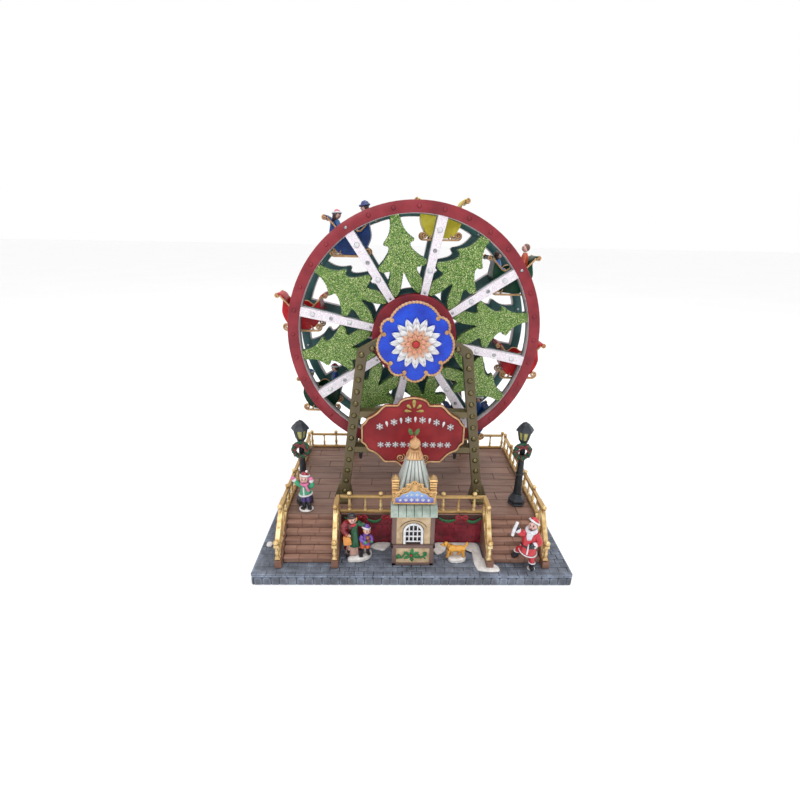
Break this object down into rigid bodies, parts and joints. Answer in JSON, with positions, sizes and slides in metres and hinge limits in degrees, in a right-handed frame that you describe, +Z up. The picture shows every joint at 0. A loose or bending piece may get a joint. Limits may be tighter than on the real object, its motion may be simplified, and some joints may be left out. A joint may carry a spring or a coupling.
{
  "type": "tabletop ferris wheel model",
  "caption": "Tabletop winter-village ferris wheel: open wheel with sleigh gondolas on a braced stand, over a railed deck with stairs, street lamps and a ticket booth.",
  "frame": {"origin": "centre of the base's underside", "axes": "+Z up, -Y towards the front with the stairs and the booth, +X to the viewer's right; the wheel turns about a line along Y"},
  "size_m": [0.32, 0.21, 0.3607],
  "materials": {
    "cast_stone": "painted cast resin, dry-brushed",
    "plank_brown": "painted cast resin",
    "brick_red": "painted cast resin, satin",
    "rail_gold": "satin gold paint",
    "lamp_black": "satin black paint",
    "wreath_green": "painted foliage",
    "booth_paint": "painted cast resin",
    "window_white": "white paint over a dark ground",
    "awning_green": "painted cast resin",
    "booth_blue": "painted panel in a gold frame",
    "finial_gold": "satin gold paint",
    "frame_bronze": "bronze paint, rubbed at the edges",
    "sign_red": "satin red paint, gold border",
    "medallion_blue": "satin blue paint, gold rope border",
    "axle_steel": "plain steel",
    "wheel_paint": "painted moulding with glitter on the trees",
    "gondola_green": "glossy paint, gold trim",
    "gondola_yellow": "glossy paint, gold trim",
    "gondola_blue": "glossy paint, gold trim",
    "gondola_red": "glossy paint, gold trim",
    "figure_paint": "hand-painted cast resin"
  },
  "bodies": {
    "stand": {"base_plate": "cast_stone", "deck": "plank_brown", "brick_plinth": "brick_red", "stairs_left": "plank_brown", "stairs_right": "plank_brown", "rail_back": "rail_gold", "rail_front": "rail_gold", "rail_left": "rail_gold", "rail_right": "rail_gold", "stair_rail_left": "rail_gold", "stair_rail_right": "rail_gold", "lamp_left": "lamp_black", "lamp_right": "lamp_black", "wreath_left": "wreath_green", "wreath_right": "wreath_green", "booth_body": "booth_paint", "booth_window": "window_white", "booth_awning": "awning_green", "booth_sign": "booth_blue", "booth_tower_left": "finial_gold", "booth_tower_right": "finial_gold", "booth_spire": "awning_green", "booth_finial": "finial_gold", "frame_front": "frame_bronze", "frame_rear": "frame_bronze", "sign_board": "sign_red", "medallion": "medallion_blue", "axle": "axle_steel", "figure_child": "figure_paint", "figure_woman_and_child": "figure_paint", "figure_dog": "figure_paint", "figure_man": "figure_paint"},
    "wheel": {"front_wheel": "wheel_paint", "rear_wheel": "wheel_paint", "hub_drum": "wheel_paint"},
    "gondola_1": {"gondola_1": "gondola_green", "riders_1": "figure_paint"},
    "gondola_2": {"gondola_2": "gondola_yellow"},
    "gondola_3": {"gondola_3": "gondola_blue", "riders_3": "figure_paint"},
    "gondola_4": {"gondola_4": "gondola_red"},
    "gondola_5": {"gondola_5": "gondola_green", "riders_5": "figure_paint"},
    "gondola_6": {"gondola_6": "gondola_yellow"},
    "gondola_7": {"gondola_7": "gondola_blue", "riders_7": "figure_paint"},
    "gondola_8": {"gondola_8": "gondola_red"}
  },
  "joints": [
    {"name": "wheel_spin", "type": "hinge", "parent": "stand", "child": "wheel", "pos_m": [0, 0.0335, 0.2275], "axis": [0, 1, 0], "continuous": true},
    {"name": "gondola_1_swing", "type": "hinge", "parent": "wheel", "child": "gondola_1", "pos_m": [0.10198, 0.0335, 0.29373], "axis": [0, 1, 0], "continuous": true},
    {"name": "gondola_2_swing", "type": "hinge", "parent": "wheel", "child": "gondola_2", "pos_m": [0.02528, 0.0335, 0.34644], "axis": [0, 1, 0], "continuous": true},
    {"name": "gondola_3_swing", "type": "hinge", "parent": "wheel", "child": "gondola_3", "pos_m": [-0.06623, 0.0335, 0.32948], "axis": [0, 1, 0], "continuous": true},
    {"name": "gondola_4_swing", "type": "hinge", "parent": "wheel", "child": "gondola_4", "pos_m": [-0.11894, 0.0335, 0.25278], "axis": [0, 1, 0], "continuous": true},
    {"name": "gondola_5_swing", "type": "hinge", "parent": "wheel", "child": "gondola_5", "pos_m": [-0.10198, 0.0335, 0.16127], "axis": [0, 1, 0], "continuous": true},
    {"name": "gondola_6_swing", "type": "hinge", "parent": "wheel", "child": "gondola_6", "pos_m": [-0.02528, 0.0335, 0.10856], "axis": [0, 1, 0], "continuous": true},
    {"name": "gondola_7_swing", "type": "hinge", "parent": "wheel", "child": "gondola_7", "pos_m": [0.06623, 0.0335, 0.12552], "axis": [0, 1, 0], "continuous": true},
    {"name": "gondola_8_swing", "type": "hinge", "parent": "wheel", "child": "gondola_8", "pos_m": [0.11894, 0.0335, 0.20222], "axis": [0, 1, 0], "continuous": true}
  ],
  "couplings": [
    {"joint": "gondola_1_swing", "follows": "wheel_spin", "ratio": -1},
    {"joint": "gondola_2_swing", "follows": "wheel_spin", "ratio": -1},
    {"joint": "gondola_3_swing", "follows": "wheel_spin", "ratio": -1},
    {"joint": "gondola_4_swing", "follows": "wheel_spin", "ratio": -1},
    {"joint": "gondola_5_swing", "follows": "wheel_spin", "ratio": -1},
    {"joint": "gondola_6_swing", "follows": "wheel_spin", "ratio": -1},
    {"joint": "gondola_7_swing", "follows": "wheel_spin", "ratio": -1},
    {"joint": "gondola_8_swing", "follows": "wheel_spin", "ratio": -1}
  ]
}
